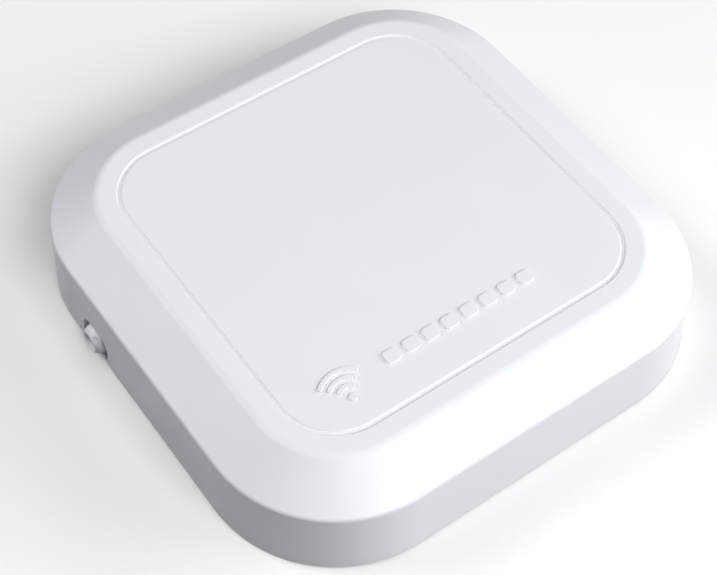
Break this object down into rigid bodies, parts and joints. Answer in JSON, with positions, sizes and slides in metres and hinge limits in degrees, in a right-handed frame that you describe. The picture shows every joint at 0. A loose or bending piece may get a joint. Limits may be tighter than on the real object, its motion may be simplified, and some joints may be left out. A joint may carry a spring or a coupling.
{
  "type": "ceiling access point",
  "caption": "Square white wireless access point with rounded corners and a sloped edge, that twists onto a round steel ceiling bracket and takes power at a round inlet in one side.",
  "frame": {"origin": "centre of the ceiling bracket's back, on the ceiling plane, which is also the centre of the square housing", "axes": "+Z points out of the ceiling towards the face. -Y is the edge that carries the raised symbol, +Y the port panel, and -X the wall with the power inlet."},
  "size_m": [0.1921, 0.1897, 0.0406],
  "materials": {
    "cover_white": "fine satin moulded",
    "pan_white": "matt moulded",
    "button_white": "satin moulded",
    "bracket_steel": "powder-coated sheet steel",
    "screw_steel": "zinc plated",
    "board_green": "solder-masked glass fibre",
    "chip_black": "moulded epoxy",
    "plastic_black": "satin moulded",
    "shield_tin": "tin plated sheet",
    "sink_aluminium": "extruded, clear anodised",
    "pad_grey": "soft silicone",
    "gold_contact": "gold flashed",
    "antenna_board": "solder-masked glass fibre",
    "lead_grey": "extruded jacket",
    "light_clear": "clear moulded",
    "led_yellow": "cast lens",
    "label_silver": "printed film, blank",
    "coil_ferrite": "sintered ferrite"
  },
  "bodies": {
    "bracket": {"ceiling_bracket": "bracket_steel"},
    "housing": {"base_pan": "pan_white", "board_screws": "screw_steel", "capacitors": "sink_aluminium", "cover_screws": "screw_steel", "flash_chip": "chip_black", "front_cover": "cover_white", "front_left_antenna": "antenna_board", "front_left_lead": "lead_grey", "front_right_antenna": "antenna_board", "front_right_lead": "lead_grey", "heat_sink": "sink_aluminium", "heat_sink_pins": "plastic_black", "inlet_collar": "cover_white", "inlet_pin": "screw_steel", "inlet_socket": "plastic_black", "inlet_terminals": "gold_contact", "lan_jack_contacts": "gold_contact", "lan_jack_insert": "plastic_black", "lan_jack_shell": "shield_tin", "lead_plugs": "gold_contact", "left_radio_shield": "shield_tin", "light_pipe": "light_clear", "line_transformers": "chip_black", "main_board": "board_green", "memory_chips": "chip_black", "pair_switch": "plastic_black", "port_panel": "pan_white", "power_coils": "coil_ferrite", "power_header": "plastic_black", "power_lead": "lead_grey", "processor": "chip_black", "radio_chips": "chip_black", "rating_label": "label_silver", "reset_switch": "plastic_black", "right_radio_shield": "shield_tin", "side_left_antenna": "antenna_board", "side_left_lead": "lead_grey", "side_right_antenna": "antenna_board", "side_right_lead": "lead_grey", "status_leds": "led_yellow", "thermal_pad": "pad_grey", "wan_jack_contacts": "gold_contact", "wan_jack_insert": "plastic_black", "wan_jack_shell": "shield_tin"},
    "pair_button": {"pair_cap": "button_white", "pair_nib": "plastic_black"},
    "reset_button": {"reset_nib": "plastic_black"}
  },
  "joints": [
    {"name": "bracket_twist", "type": "hinge", "parent": "bracket", "child": "housing", "pos_m": [0, 0, 0], "axis": [0, 0, 1], "range_deg": [0, 20]},
    {"name": "pair_press", "type": "slide", "parent": "housing", "child": "pair_button", "axis": [0, -1, 0], "range_m": [0, 0.0006], "stiffness_N_per_m": 900, "springref_m": -0.0008},
    {"name": "reset_press", "type": "slide", "parent": "housing", "child": "reset_button", "axis": [0, -1, 0], "range_m": [0, 0.0003], "stiffness_N_per_m": 1500, "springref_m": -0.0006}
  ]
}
